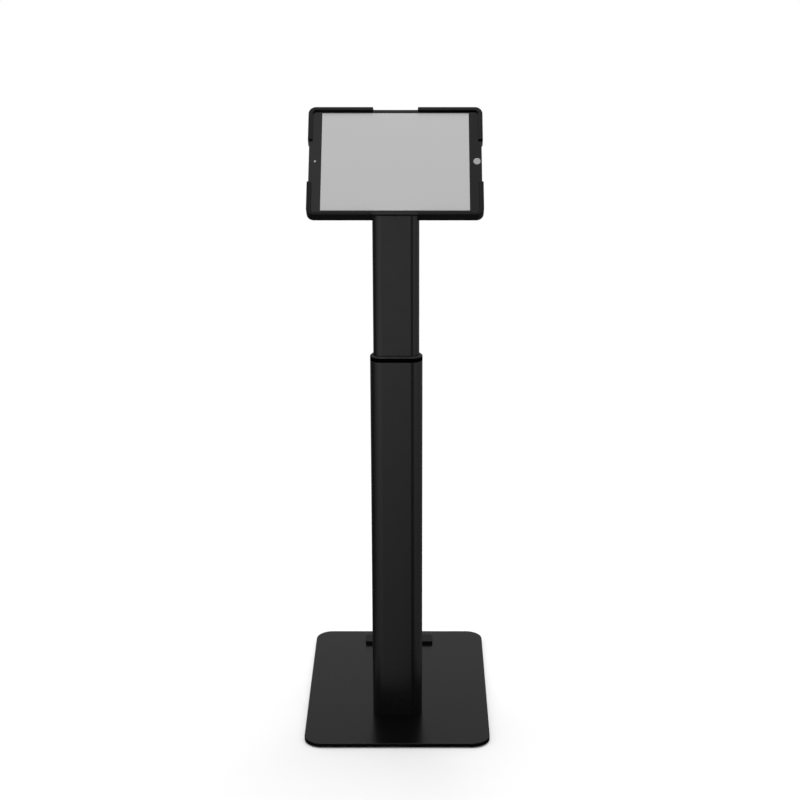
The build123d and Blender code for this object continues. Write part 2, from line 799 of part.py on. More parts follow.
def build():
    """Every piece of the stand by its node name."""
    return {
        "base_plate": base_plate(),
        "foot_pads": foot_pads(),
        "cable_bridge": cable_bridge(),
        "bridge_screws": screws(sunk_screw, bridge_screw, bridge_screw_places()),
        "column_spigot": column_spigot(),
        "base_screws": screws(sunk_screw, base_screw, base_screw_places()),
        "lower_tube": lower_tube(),
        "spigot_screws": screws(pan_screw, spigot_screw, spigot_screw_places()),
        "cable_grommet": cable_grommet(),
        "top_bushing": top_bushing(),
        "bushing_screws": screws(pan_screw, sleeve_screw, sleeve_screw_places()),
        "clamp_boss": clamp_boss(),
        "brake_pad": brake_pad(),
        "knob_stud": knob_stud(),
        "lock_knob": lock_knob(),
        "knob_cap": knob_cap(),
        "upper_tube": upper_tube(),
        "lower_glide": lower_glide(),
        "glide_screws": screws(sunk_screw, glide_screw, glide_screw_places()),
        "upper_cap": upper_cap(),
        "cap_screws": screws(pan_screw, cap_screw, cap_screw_places()),
        "hinge_washers": hinge_washers(),
        "tilt_bracket": tilt_bracket(),
        "hinge_bolt": hinge_bolt(),
        "hinge_spring": hinge_spring(),
        "hinge_nut": hinge_nut(),
        "stop_pin": stop_pin(),
        "turn_washer": turn_washer(),
        "rotor": rotor(),
        "pivot_bolt": pivot_bolt(),
        "pivot_nut": pivot_nut(),
        "pivot_spring": pivot_spring(),
        "rotor_screws": head * screws(sunk_screw, rotor_screw, rotor_screw_places()),
        "backing_plate": backing_plate(),
        "cradle_screws": head * screws(pan_screw, cradle_screw, cradle_screw_places()),
        "cradle_shell": cradle_shell(),
        "cradle_pad": cradle_pad(),
        "tablet_body": tablet_body(),
        "tablet_display": tablet_display(),
        "tablet_glass": tablet_glass(),
        "camera_lens": camera_lens(),
        "home_button": home_button(),
    }


os.makedirs("parts", exist_ok=True)
for name, piece in build().items():
    export_step(piece, f"parts/{name}.step")
print("hinge height", hinge_z, "column", column_y, "glass", glass_face)
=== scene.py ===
import json
import math

import bmesh
import bpy
from mathutils import Matrix, Vector


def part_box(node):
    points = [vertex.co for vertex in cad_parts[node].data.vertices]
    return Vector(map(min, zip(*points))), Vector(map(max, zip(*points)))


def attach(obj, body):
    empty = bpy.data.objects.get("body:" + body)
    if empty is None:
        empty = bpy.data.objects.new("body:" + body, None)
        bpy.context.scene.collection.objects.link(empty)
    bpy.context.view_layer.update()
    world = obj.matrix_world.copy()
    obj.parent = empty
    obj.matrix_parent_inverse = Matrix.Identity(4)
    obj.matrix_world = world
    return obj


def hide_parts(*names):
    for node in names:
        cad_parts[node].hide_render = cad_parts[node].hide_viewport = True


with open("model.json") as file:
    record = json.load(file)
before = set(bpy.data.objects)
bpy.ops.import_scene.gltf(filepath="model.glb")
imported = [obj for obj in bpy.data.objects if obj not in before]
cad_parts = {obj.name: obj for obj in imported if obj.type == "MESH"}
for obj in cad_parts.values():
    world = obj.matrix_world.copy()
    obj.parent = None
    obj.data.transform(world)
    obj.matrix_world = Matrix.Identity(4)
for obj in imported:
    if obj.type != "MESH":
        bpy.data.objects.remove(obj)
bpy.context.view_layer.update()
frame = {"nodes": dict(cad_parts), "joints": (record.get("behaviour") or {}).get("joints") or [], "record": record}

# Everything is in metres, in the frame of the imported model: X to the right, the tablet faces -Y.
MM = 0.001
NODES = frame["nodes"]
SLOTS = {part["node"]: part["material_slot"] for part in frame["record"]["subparts"]}
BODIES = {node: body for body, nodes in frame["record"]["behaviour"]["bodies"].items() for node in nodes}

# The head: its hinge, the way that the tablet faces, and the lean of the tablet about X
JOINTS = {joint["name"]: joint for joint in frame["joints"]}
HINGE = Vector(JOINTS["tilt_hinge"]["pos_m"])
FACING = Vector(JOINTS["cradle_turn"]["axis"]).normalized()
LEAN = math.acos(FACING.z)


# Short ways to build node trees

def put(tree, kind, inputs=None, **settings):
    """Adds a node. An input is a value, or another node's output to link."""
    node = tree.nodes.new(kind)
    for name, value in settings.items():
        setattr(node, name, value)
    for name, value in (inputs or {}).items():
        if isinstance(value, bpy.types.NodeSocket):
            tree.links.new(value, node.inputs[name])
        else:
            node.inputs[name].default_value = value
    return node


def calc(tree, operation, *values, **settings):
    """One sum on numbers or sockets."""
    return put(tree, "ShaderNodeMath", dict(enumerate(values)), operation=operation, **settings).outputs[0]


def spread(tree, value, low=0.0, high=1.0, to_low=0.0, to_high=1.0, **settings):
    """Carries a value from one range over to another, and holds it at the ends."""
    return put(tree, "ShaderNodeMapRange", {
        "Value": value, "From Min": low, "From Max": high, "To Min": to_low, "To Max": to_high},
        **settings).outputs["Result"]


def blend(tree, share, first, second):
    """A colour between two others."""
    return put(tree, "ShaderNodeMix", {0: share, 6: first, 7: second}, data_type="RGBA").outputs[2]


def noise(tree, place, scale, detail, roughness, distortion=0.0):
    return put(tree, "ShaderNodeTexNoise", {
        "Vector": place, "Scale": scale, "Detail": detail, "Roughness": roughness,
        "Distortion": distortion}).outputs["Fac"]


def toned(tree, colour, tone):
    """A colour made lighter or darker by a factor."""
    return put(tree, "ShaderNodeVectorMath", {0: colour, "Scale": tone}, operation="SCALE").outputs["Vector"]


def own_place(tree):
    return put(tree, "ShaderNodeTexCoord").outputs["Object"]


def parts_of(tree, vector):
    """The X, Y and Z of a vector."""
    return put(tree, "ShaderNodeSeparateXYZ", {"Vector": vector}).outputs


def new_group(name, kind, inputs, outputs):
    """A node group with named sockets: its tree, its inputs and its output node."""
    tree = bpy.data.node_groups.new(name, kind)
    for label, socket, value in inputs:
        made = tree.interface.new_socket(label, in_out="INPUT", socket_type="NodeSocket" + socket)
        if value is not None:
            made.default_value = value
    for label, socket in outputs:
        tree.interface.new_socket(label, in_out="OUTPUT", socket_type="NodeSocket" + socket)
    return tree, put(tree, "NodeGroupInput").outputs, put(tree, "NodeGroupOutput").inputs


# Shader groups: each gives a colour, a roughness and a normal

SURFACE = [("Color", "Color"), ("Roughness", "Float"), ("Normal", "Vector")]


def give(tree, result, colour, roughness, height, depth, normal=None):
    """Ends a surface group. The height becomes a bump of the given depth."""
    tree.links.new(colour, result["Color"])
    tree.links.new(roughness, result["Roughness"])
    bump = put(tree, "ShaderNodeBump", {"Strength": 1.0, "Distance": depth, "Height": height})
    if normal:
        tree.links.new(normal, bump.inputs["Normal"])
    tree.links.new(bump.outputs["Normal"], result["Normal"])


def make_coat_group():
    """A finish with fine grain, hand marks in its gloss, and its rounded edges blended to an edge colour: real
    rubs, and on some finishes a painted highlight or painted shade along the edges.
    """
    tree, given, result = new_group("coat_detail", "ShaderNodeTree", [
        ("Colour", "Color", (0.01, 0.01, 0.01, 1)),
        ("Edge rub and painted light colour", "Color", (0.05, 0.05, 0.05, 1)),
        ("Roughness", "Float", 0.45),
        ("Gloss marks", "Float", 0.1),
        ("Grain scale", "Float", 1500.0),
        ("Grain depth", "Float", 0.00003),
        ("Edge radius", "Float", 0.0006),
        ("Edge rubs and painted light", "Float", 0.3),
    ], SURFACE)
    place = own_place(tree)
    grain = noise(tree, place, given["Grain scale"], 3.0, 0.6)
    marks = noise(tree, place, 28.0, 5.0, 0.62, 0.6)
    rounded = put(tree, "ShaderNodeBevel", {"Radius": given["Edge radius"]}, samples=6).outputs["Normal"]
    flat = put(tree, "ShaderNodeNewGeometry").outputs["Normal"]
    same = put(tree, "ShaderNodeVectorMath", {0: rounded, 1: flat}, operation="DOT_PRODUCT").outputs["Value"]
    bend = spread(tree, same, 0.999, 0.86)
    broken = spread(tree, marks, 0.42, 0.62, 0.15, 1.0)
    # Painted light: the edge mask blends in the edge colour, which stands for rubs and also for highlights painted
    # along rounded edges
    rubbed_and_lit_edges = calc(tree, "MULTIPLY", calc(tree, "MULTIPLY", bend, broken), given["Edge rubs and painted light"])
    body = toned(tree, given["Colour"], spread(tree, grain, 0.3, 0.7, 0.75, 1.25))
    colour = blend(tree, rubbed_and_lit_edges, body, given["Edge rub and painted light colour"])
    drift = calc(tree, "SUBTRACT", marks, 0.5)
    gloss = calc(tree, "MULTIPLY_ADD", drift, given["Gloss marks"], given["Roughness"], use_clamp=True)
    give(tree, result, colour, gloss, grain, given["Grain depth"], rounded)
    return tree


def make_brushed_group():
    """Bare metal with fine tool lines across one axis, a few darker stains and softened edges."""
    tree, given, result = new_group("brushed_metal", "ShaderNodeTree", [
        ("Colour", "Color", (0.5, 0.5, 0.49, 1)),
        ("Roughness", "Float", 0.32),
        ("Line stretch", "Vector", (1.0, 1.0, 12.0)),
        ("Line depth", "Float", 0.00001),
        ("Stain", "Float", 0.3),
    ], SURFACE)
    place = own_place(tree)
    drawn = put(tree, "ShaderNodeVectorMath", {0: place, 1: given["Line stretch"]}, operation="MULTIPLY")
    lines = noise(tree, drawn.outputs["Vector"], 700.0, 4.0, 0.7)
    stained = spread(tree, noise(tree, place, 160.0, 5.0, 0.65), 0.45, 0.7)
    amount = calc(tree, "MULTIPLY", stained, given["Stain"])
    keep = calc(tree, "SUBTRACT", 1.0, amount)
    tone = calc(tree, "MULTIPLY", spread(tree, lines, 0.3, 0.7, 0.85, 1.12), keep)
    gloss = calc(tree, "MULTIPLY_ADD", amount, 0.5, given["Roughness"], use_clamp=True)
    rounded = put(tree, "ShaderNodeBevel", {"Radius": 0.2 * MM}, samples=4).outputs["Normal"]
    give(tree, result, toned(tree, given["Colour"], tone), gloss, lines, given["Line depth"], rounded)
    return tree


def make_soft_group():
    """Rubber, foam or matt plastic: small cells, a lighter tone on what faces up and a soft uneven tone. The
    lighter tone is dust, and where it is given strongly it is a painted top light.
    """
    tree, given, result = new_group("soft_cells", "ShaderNodeTree", [
        ("Colour", "Color", (0.012, 0.012, 0.012, 1)),
        ("Dust and top light colour", "Color", (0.12, 0.12, 0.115, 1)),
        ("Dust and top light", "Float", 0.15),
        ("Roughness", "Float", 0.8),
        ("Cell scale", "Float", 1800.0),
        ("Cell depth", "Float", 0.00006),
    ], SURFACE)
    place = own_place(tree)
    cells = put(tree, "ShaderNodeTexVoronoi", {
        "Vector": place, "Scale": given["Cell scale"]}).outputs["Distance"]
    patches = noise(tree, place, 60.0, 4.0, 0.6)
    lying = spread(tree, parts_of(tree, put(tree, "ShaderNodeNewGeometry").outputs["Normal"])["Z"], 0.2, 1.0)
    # Dust on faces that point up; given strongly, as on the collar, it paints a light top as a painted highlight
    dust_and_top_light_share = calc(tree, "MULTIPLY", calc(tree, "MULTIPLY", lying, patches), given["Dust and top light"])
    body = toned(tree, given["Colour"], spread(tree, cells, 0.0, 0.8, 0.7, 1.3))
    colour = blend(tree, dust_and_top_light_share, body, given["Dust and top light colour"])
    gloss = calc(tree, "MULTIPLY_ADD", patches, 0.2, given["Roughness"], use_clamp=True)
    give(tree, result, colour, gloss, cells, given["Cell depth"])
    return tree


COAT = make_coat_group()
BRUSHED = make_brushed_group()
SOFT = make_soft_group()


# Materials

def grey(value):
    return (value, value, value)


def shine(level):
    """How strongly a coat mirrors: 0.5 is usual, and less is duller."""
    return {"Specular IOR Level": level}


def new_material(name, constants):
    """A material whose Principled shader has its plain numbers set: the material, its tree, its shader."""
    material = bpy.data.materials.new(name)
    material.use_nodes = True
    tree = material.node_tree
    shader = tree.nodes["Principled BSDF"]
    for label, value in constants.items():
        shader.inputs[label].default_value = value
    return material, tree, shader


def from_group(name, group, values, constants):
    """A material whose colour, roughness and normal come from a group with these values."""
    material, tree, shader = new_material(name, constants)
    finish = put(tree, "ShaderNodeGroup", values, node_tree=group)
    for label, target in (("Color", "Base Color"), ("Roughness", "Roughness"), ("Normal", "Normal")):
        tree.links.new(finish.outputs[label], shader.inputs[target])
    return material


# How far hand marks change the roughness of a coat
GLOSS_MARKS = 0.12


def coated(name, colour, edge, roughness, grain=1500.0, depth=0.03, radius=0.6, edge_rubs_and_painted_light=0.3, **constants):
    """A finish from the coat group. Its edge colour is partly rubs and partly a painted highlight or shade along
    rounded edges. Depth and radius are in millimetres.
    """
    values = {
        "Colour": (*colour, 1), "Edge rub and painted light colour": (*edge, 1), "Roughness": roughness, "Gloss marks": GLOSS_MARKS,
        "Grain scale": grain, "Grain depth": depth * MM, "Edge radius": radius * MM, "Edge rubs and painted light": edge_rubs_and_painted_light}
    return from_group(name, COAT, values, constants)


def brushed(name, colour, roughness=0.3, along=(1, 1, 12), depth=0.01, stain=0.3):
    """Bare metal, its tool lines across the axis with the greatest stretch. The depth is in millimetres."""
    values = {"Colour": (*colour, 1), "Roughness": roughness, "Line stretch": along,
              "Line depth": depth * MM, "Stain": stain}
    return from_group(name, BRUSHED, values, {"Metallic": 1.0})


def soft(name, colour, dust_and_top_light=0.15, roughness=0.75, cells=1800.0, depth=0.06, mirror=0.3):
    """Rubber, foam or matt plastic, with dust on what faces up, which given strongly paints a light top. The depth
    is in millimetres.
    """
    values = {"Colour": (*colour, 1), "Dust and top light": dust_and_top_light, "Roughness": roughness,
              "Cell scale": cells, "Cell depth": depth * MM}
    return from_group(name, SOFT, values, shine(mirror))


FINISHES = {
    # Base and column
    # Painted highlight: the plate's lighter edge colour paints thin light lines along its rounded edges
    "powder_coat": coated("powder_coat", grey(0.002), grey(0.02), 0.24, grain=1300, **shine(0.15)),
    "tube_coat": coated("tube_coat", grey(0.0035), grey(0.03), 0.26, grain=1800, depth=0.018, **shine(0.38)),
    "rubber": soft("rubber", grey(0.014)),
    "bridge_plastic": coated("bridge_plastic", grey(0.005), grey(0.02), 0.45, grain=2200, **shine(0.08)),
    # Painted highlight: the collar mirrors nothing, and its strong dust amount paints its upward faces light grey
    "collar_plastic": soft("collar_plastic", grey(0.0006), 1.2, 0.5, 2600.0, 0.015, 0.0),
    "glide_plastic": coated("glide_plastic", grey(0.55), grey(0.7), 0.5, grain=2200, depth=0.02),
    "spigot_metal": brushed("spigot_metal", grey(0.45), 0.45, depth=0.04),
    # Screws and the height lock
    "black_screw": coated("black_screw", grey(0.02), grey(0.14), 0.38, grain=3500, depth=0.01, radius=0.25,
                          edge_rubs_and_painted_light=0.5),
    "zinc_steel": brushed("zinc_steel", (0.56, 0.56, 0.54)),
    "boss_metal": coated("boss_metal", grey(0.02), grey(0.2), 0.4, grain=2000, depth=0.02, radius=0.4),
    "knob_plastic": coated("knob_plastic", grey(0.010), grey(0.04), 0.5, grain=2600, depth=0.05, radius=0.5),
    "knob_cap_plastic": coated("knob_cap_plastic", grey(0.012), grey(0.03), 0.3, grain=2500, depth=0.01,
                               radius=0.3),
    # Head
    "head_casting": coated("head_casting", grey(0.008), grey(0.06), 0.5, grain=1200, depth=0.06, radius=0.5),
    "washer_plastic": coated("washer_plastic", grey(0.7), grey(0.8), 0.4, grain=2500, depth=0.01, radius=0.2),
    "rotor_metal": coated("rotor_metal", grey(0.02), grey(0.2), 0.4, grain=1800, depth=0.02, radius=0.4),
    # Cradle and tablet
    "backing_coat": coated("backing_coat", grey(0.008), grey(0.05), 0.45, grain=1400, radius=0.4),
    # Painted highlight: the lighter edge colour, given fully, paints light lines along the shell's rounded lips
    "shell_plastic": coated("shell_plastic", grey(0.003), grey(0.03), 0.42, grain=2600, radius=0.4, edge_rubs_and_painted_light=0.9,
                            **shine(0.08)),
    "pad_foam": soft("pad_foam", grey(0.02), cells=1100.0, depth=0.15),
    "tablet_metal": brushed("tablet_metal", grey(0.07), 0.36, (12, 1, 1), 0.004, 0.1),
    "display_panel": coated("display_panel", grey(0.02), grey(0.03), 0.3),
    # Painted highlight: the lens is given a light grey, with a lighter rim, for the glint on it
    "lens_glass": coated("lens_glass", grey(0.3), grey(0.5), 0.1, grain=3000, depth=0.005, radius=0.2),
    # The button's rim is given a darker grey than its face
    "button_plastic": coated("button_plastic", grey(0.235), grey(0.06), 0.35, grain=3000, depth=0.01,
                             radius=0.8, edge_rubs_and_painted_light=1.0),
}

# The glass: its black border carries a painted sheen that fades from the left to none at the right, and the screen
# behind it is an even grey
BORDER_SHEEN_LEFT = 0.008
BORDER_SHEEN_RIGHT = 0.0
SCREEN = (0.405, 0.405, 0.405, 1)
GLASS_SHINE = 0.42
CLEAN_GLASS, SMEARED_GLASS = 0.05, 0.14


def head_place(tree):
    """Object coordinates in the head's own frame, in metres: X across, Y up the glass, Z out of it."""
    return put(tree, "ShaderNodeMapping", {
        "Vector": own_place(tree), "Location": HINGE, "Rotation": (LEAN, 0, 0)},
        vector_type="TEXTURE").outputs["Vector"]


def make_glass():
    """The cover glass: a black border, with a painted sheen fading across it, round an even, light grey screen."""
    material, tree, shader = new_material("tablet_glass", shine(GLASS_SHINE))
    place = parts_of(tree, head_place(tree))
    low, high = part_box("tablet_display")
    half_x = (high.x - low.x) / 2
    half_y = (high.z - low.z) / 2 / math.sin(LEAN)
    across, along = [calc(tree, "LESS_THAN", calc(tree, "ABSOLUTE", place[axis]), half)
                     for axis, half in (("X", half_x), ("Y", half_y))]
    screen = calc(tree, "MULTIPLY", across, along)
    # Painted reflection: the border's grey at the left, fading to black at the right, stands in for the sheen on
    # the glass
    border = spread(tree, place["X"], -half_x, half_x, BORDER_SHEEN_LEFT, BORDER_SHEEN_RIGHT)
    tree.links.new(blend(tree, screen, border, SCREEN), shader.inputs["Base Color"])
    smear = noise(tree, head_place(tree), 35.0, 4.0, 0.5)
    tree.links.new(spread(tree, smear, to_low=CLEAN_GLASS, to_high=SMEARED_GLASS), shader.inputs["Roughness"])
    return material


FINISHES["tablet_glass"] = make_glass()


def finish_nodes():
    """Each CAD node takes the finish of its slot."""
    for node, finish in SLOTS.items():
        for slot in NODES[node].material_slots:
            slot.material = FINISHES[finish]


# Pieces grown with Geometry Nodes on the places of the CAD solids

# Points closer than this are one
SAME_PLACE = 0.001 * MM


def islands(node):
    """The points of each separate solid of a node, in the row frame."""
    source = NODES[node]
    body = bmesh.new()
    body.from_mesh(source.data)
    bmesh.ops.remove_doubles(body, verts=body.verts, dist=SAME_PLACE)
    left, found = set(body.verts), []
    while left:
        group, edge = [], [left.pop()]
        while edge:
            point = edge.pop()
            group.append(source.matrix_world @ point.co)
            for line in point.link_edges:
                other = line.other_vert(point)
                if other in left:
                    left.remove(other)
                    edge.append(other)
        found.append(group)
    body.free()
    return sorted(found, key=lambda group: [round(min(p[i] for p in group), 5) for i in range(3)])


def measure(points, axis):
    """A turned solid's place and sizes from its points. The axis points out of its head."""
    axis = Vector(axis).normalized()
    side = axis.orthogonal().normalized()
    across = axis.cross(side)
    middle = Vector()
    for way in (side, across):
        reach = [point.dot(way) for point in points]
        middle += way * (min(reach) + max(reach)) / 2
    levels = [point.dot(axis) for point in points]
    top, bottom = max(levels), min(levels)
    spokes = [point - axis * point.dot(axis) - middle for point in points]
    far = max(spokes, key=lambda spoke: [round(size, 7) for size in (
        spoke.length, spoke.dot(side), spoke.dot(across))])
    shank = max(spoke.length for spoke, level in zip(spokes, levels) if level < bottom + 0.02 * MM)
    head_foot = min(level for spoke, level in zip(spokes, levels)
                    if level > bottom + 0.1 * MM and spoke.length > 0.97 * shank)
    first = far.normalized()
    facing = Matrix((first, axis.cross(first), axis)).transposed().to_euler()
    return {"top": middle + axis * top, "length": top - bottom, "head radius": far.length,
            "head height": top - head_foot, "shank radius": shank, "facing": facing}


def join(tree, *parts):
    """Joins the geometry of several nodes."""
    node = put(tree, "GeometryNodeJoinGeometry")
    for part in parts:
        tree.links.new(part, node.inputs["Geometry"])
    return node.outputs["Geometry"]


def cylinder(tree, sides, radius, depth, rings=1, fill=1):
    """An upright cylinder round the origin. More rings and fill let a profile or a wave shape it."""
    return put(tree, "GeometryNodeMeshCylinder", {
        "Vertices": sides, "Side Segments": rings, "Fill Segments": fill, "Radius": radius, "Depth": depth},
        fill_type="TRIANGLE_FAN" if fill > 1 else "NGON").outputs["Mesh"]


def shift(tree, geometry, level):
    """Moves geometry along Z."""
    offset = put(tree, "ShaderNodeCombineXYZ", {"Z": level}).outputs[0]
    return put(tree, "GeometryNodeTransform", {
        "Geometry": geometry, "Translation": offset}).outputs["Geometry"]


def turned(tree, geometry, depth, profile):
    """Scales each ring of an upright cylinder by a profile of its height share, counted from below."""
    place = parts_of(tree, put(tree, "GeometryNodeInputPosition").outputs[0])
    height = calc(tree, "ADD", calc(tree, "DIVIDE", place["Z"], depth), 0.5)
    scale = profile(height)
    spot = put(tree, "ShaderNodeCombineXYZ", {
        "X": calc(tree, "MULTIPLY", place["X"], scale), "Y": calc(tree, "MULTIPLY", place["Y"], scale),
        "Z": place["Z"]})
    return put(tree, "GeometryNodeSetPosition", {
        "Geometry": geometry, "Position": spot.outputs[0]}).outputs["Geometry"]


def cut(tree, first, second, operation="DIFFERENCE"):
    """Takes the second shape off the first, or keeps what both share."""
    node = put(tree, "GeometryNodeMeshBoolean", operation=operation, solver="EXACT")
    if operation == "DIFFERENCE":
        tree.links.new(first, node.inputs["Mesh 1"])
    else:
        tree.links.new(first, node.inputs["Mesh 2"])
    tree.links.new(second, node.inputs["Mesh 2"])
    return node.outputs["Mesh"]


PLACED = [("Places", "Geometry", None), ("Facing", "Vector", (0, 0, 0)), ("Spin", "Float", 0.0),
          ("Seed", "Int", 0), ("Material", "Material", None)]


def placed_group(name, inputs, shape):
    """A group that sets one shape on every place, facing one way with some spin, in one material."""
    tree, given, result = new_group(name, "GeometryNodeTree", PLACED + inputs, [("Geometry", "Geometry")])
    facing = put(tree, "FunctionNodeEulerToRotation", {0: given["Facing"]}).outputs[0]
    spots = put(tree, "GeometryNodeInstanceOnPoints", {
        "Points": given["Places"], "Instance": shape(tree, given), "Rotation": facing})
    spin = put(tree, "FunctionNodeRandomValue", {2: 0.0, 3: given["Spin"], "Seed": given["Seed"]},
               data_type="FLOAT")
    about = put(tree, "ShaderNodeCombineXYZ", {"Z": spin.outputs[1]}).outputs[0]
    about = put(tree, "FunctionNodeEulerToRotation", {0: about}).outputs[0]
    turned_spots = put(tree, "GeometryNodeRotateInstances", {
        "Instances": spots.outputs[0], "Rotation": about, "Local Space": True})
    real = put(tree, "GeometryNodeRealizeInstances", {"Geometry": turned_spots.outputs[0]})
    made = put(tree, "GeometryNodeSetMaterial", {"Geometry": real.outputs[0], "Material": given["Material"]})
    tree.links.new(made.outputs[0], result["Geometry"])
    return tree


def screw_shape(tree, given):
    """A socket screw: a rounded or sunk head with a hexagonal recess, and a shank with a thread."""
    radius, height = given["Head radius"], given["Head height"]

    def profile(share):
        crown = calc(tree, "SUBTRACT", 1.0, calc(tree, "MULTIPLY", 0.2, calc(tree, "POWER", share, 5.0)))
        slope = spread(tree, share, to_low=calc(tree, "DIVIDE", given["Shank radius"], radius))
        return put(tree, "ShaderNodeMix", {0: given["Sunk"], 2: crown, 3: slope}).outputs[0]

    head = turned(tree, cylinder(tree, 48, radius, height, rings=8), height, profile)
    recess = cylinder(tree, 6, calc(tree, "MULTIPLY", radius, 0.577), calc(tree, "MULTIPLY", height, 1.2))
    head = cut(tree, head, shift(tree, recess, calc(tree, "MULTIPLY", height, 0.5)))
    head = shift(tree, head, calc(tree, "MULTIPLY", height, -0.5))
    start = calc(tree, "MULTIPLY", height, 0.9)
    core_length = calc(tree, "SUBTRACT", given["Length"], start)
    middle = calc(tree, "MULTIPLY", calc(tree, "ADD", given["Length"], start), -0.5)
    core_radius = calc(tree, "SUBTRACT", given["Shank radius"], given["Thread depth"])
    core = shift(tree, cylinder(tree, 32, core_radius, core_length), middle)
    run = calc(tree, "MULTIPLY", given["Thread length"], 0.96)
    turns = calc(tree, "DIVIDE", run, given["Thread pitch"])
    helix = put(tree, "GeometryNodeCurveSpiral", {
        "Resolution": 32, "Rotations": turns, "Start Radius": core_radius, "End Radius": core_radius,
        "Height": run})
    upright = put(tree, "GeometryNodeSetCurveNormal", {"Curve": helix.outputs[0]})
    upright.mode = "Z_UP"
    ridge = put(tree, "GeometryNodeCurvePrimitiveCircle", {"Resolution": 4, "Radius": given["Thread depth"]})
    thread = put(tree, "GeometryNodeCurveToMesh", {
        "Curve": upright.outputs[0], "Profile Curve": ridge.outputs[0], "Fill Caps": True})
    end = calc(tree, "SUBTRACT", calc(tree, "MULTIPLY", run, 0.02), given["Length"])
    thread = shift(tree, thread.outputs[0], calc(tree, "ADD", end, given["Thread depth"]))
    plain_length = calc(tree, "SUBTRACT", core_length, run)
    plain_middle = calc(tree, "SUBTRACT", calc(tree, "MULTIPLY", plain_length, -0.5), start)
    plain = shift(tree, cylinder(tree, 32, given["Shank radius"], plain_length), plain_middle)
    return join(tree, head, core, thread, plain)


def foot_shape(tree, given):
    """A round rubber foot with rings moulded into its sole."""
    radius, height = given["Radius"], given["Height"]

    def profile(share):
        near = calc(tree, "POWER", calc(tree, "SUBTRACT", 1.0, share), 4.0)
        return calc(tree, "SUBTRACT", 1.0, calc(tree, "MULTIPLY", near, 0.03))

    foot = turned(tree, cylinder(tree, 72, radius, height, rings=6, fill=24), height, profile)
    place = parts_of(tree, put(tree, "GeometryNodeInputPosition").outputs[0])
    flat = put(tree, "ShaderNodeCombineXYZ", {"X": place["X"], "Y": place["Y"]})
    reach = put(tree, "ShaderNodeVectorMath", {0: flat.outputs[0]}, operation="LENGTH").outputs["Value"]
    rings = calc(tree, "DIVIDE", reach, given["Ring pitch"])
    wave = calc(tree, "COSINE", calc(tree, "MULTIPLY", rings, 2 * math.pi))
    half_depth = calc(tree, "MULTIPLY", given["Ring depth"], 0.5)
    lift = calc(tree, "MULTIPLY", calc(tree, "ADD", wave, 1.0), half_depth)
    offset = put(tree, "ShaderNodeCombineXYZ", {"Z": lift}).outputs[0]
    below = calc(tree, "LESS_THAN", place["Z"], calc(tree, "MULTIPLY", height, -0.49))
    inner = calc(tree, "LESS_THAN", reach, calc(tree, "MULTIPLY", radius, 0.9))
    sole = calc(tree, "MULTIPLY", below, inner)
    return put(tree, "GeometryNodeSetPosition", {
        "Geometry": foot, "Selection": sole, "Offset": offset}).outputs["Geometry"]


def nut_shape(tree, given):
    """A hexagon nut with both faces turned down at the corners, and its bore."""
    radius, height = given["Radius"], given["Height"]

    def profile(share):
        off_middle = calc(tree, "ABSOLUTE", calc(tree, "SUBTRACT", calc(tree, "MULTIPLY", share, 2.0), 1.0))
        corner = calc(tree, "MULTIPLY", calc(tree, "POWER", off_middle, 6.0), 0.12)
        return calc(tree, "SUBTRACT", 1.02, corner)

    blank = cylinder(tree, 6, radius, height)
    shell = turned(tree, cylinder(tree, 64, radius, height, rings=16), height, profile)
    nut = cut(tree, blank, shell, "INTERSECT")
    nut = cut(tree, nut, cylinder(tree, 40, given["Bore"], calc(tree, "MULTIPLY", height, 1.5)))
    return shift(tree, nut, calc(tree, "MULTIPLY", height, -0.5))


SCREW = placed_group("socket_screw", [
    ("Head radius", "Float", 0.003), ("Head height", "Float", 0.002), ("Shank radius", "Float", 0.0015),
    ("Length", "Float", 0.008), ("Sunk", "Float", 0.0), ("Thread length", "Float", 0.004),
    ("Thread pitch", "Float", 0.0007), ("Thread depth", "Float", 0.0002)], screw_shape)
FOOT = placed_group("ringed_foot", [
    ("Radius", "Float", 0.016), ("Height", "Float", 0.002), ("Ring pitch", "Float", 0.003),
    ("Ring depth", "Float", 0.0005)], foot_shape)
NUT = placed_group("hexagon_nut", [
    ("Radius", "Float", 0.007), ("Height", "Float", 0.006), ("Bore", "Float", 0.004)], nut_shape)


def show(name, mesh, node, sharp=35):
    """Links a finished mesh as a piece that stands for a CAD node."""
    mesh.shade_smooth()
    mesh.set_sharp_from_angle(angle=math.radians(sharp))
    piece = bpy.data.objects.new(name, mesh)
    bpy.context.scene.collection.objects.link(piece)
    if not mesh.materials:
        mesh.materials.append(FINISHES[SLOTS[node]])
    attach(piece, BODIES[node])
    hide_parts(node)
    return piece


def grow(name, group, node, points, values):
    """Runs a node group on some places and keeps what it makes as a plain mesh."""
    seed_mesh = bpy.data.meshes.new(name + "_places")
    seed_mesh.from_pydata([tuple(point) for point in points], [], [])
    seed = bpy.data.objects.new(name + "_places", seed_mesh)
    values = {"Material": FINISHES[SLOTS[node]], **values}
    modifier = seed.modifiers.new("grow", "NODES")
    modifier.node_group = group
    for item in group.interface.items_tree:
        if item.item_type == "SOCKET" and item.in_out == "INPUT" and item.name in values:
            modifier[item.identifier] = values[item.name]
    bpy.context.scene.collection.objects.link(seed)
    bpy.context.view_layer.update()
    depsgraph = bpy.context.evaluated_depsgraph_get()
    mesh = bpy.data.meshes.new_from_object(seed.evaluated_get(depsgraph), depsgraph=depsgraph)
    mesh.name = name
    bpy.data.objects.remove(seed)
    return show(name, mesh, node)


DOWN, BACK, LEFT, RIGHT = (0, 0, -1), (0, 1, 0), (-1, 0, 0), (1, 0, 0)
# The radii of the two bolts that carry nuts, and the play round them
HINGE_BOLT = 4.0 * MM
PIVOT_BOLT = 5.0 * MM
BOLT_PLAY = 0.05 * MM
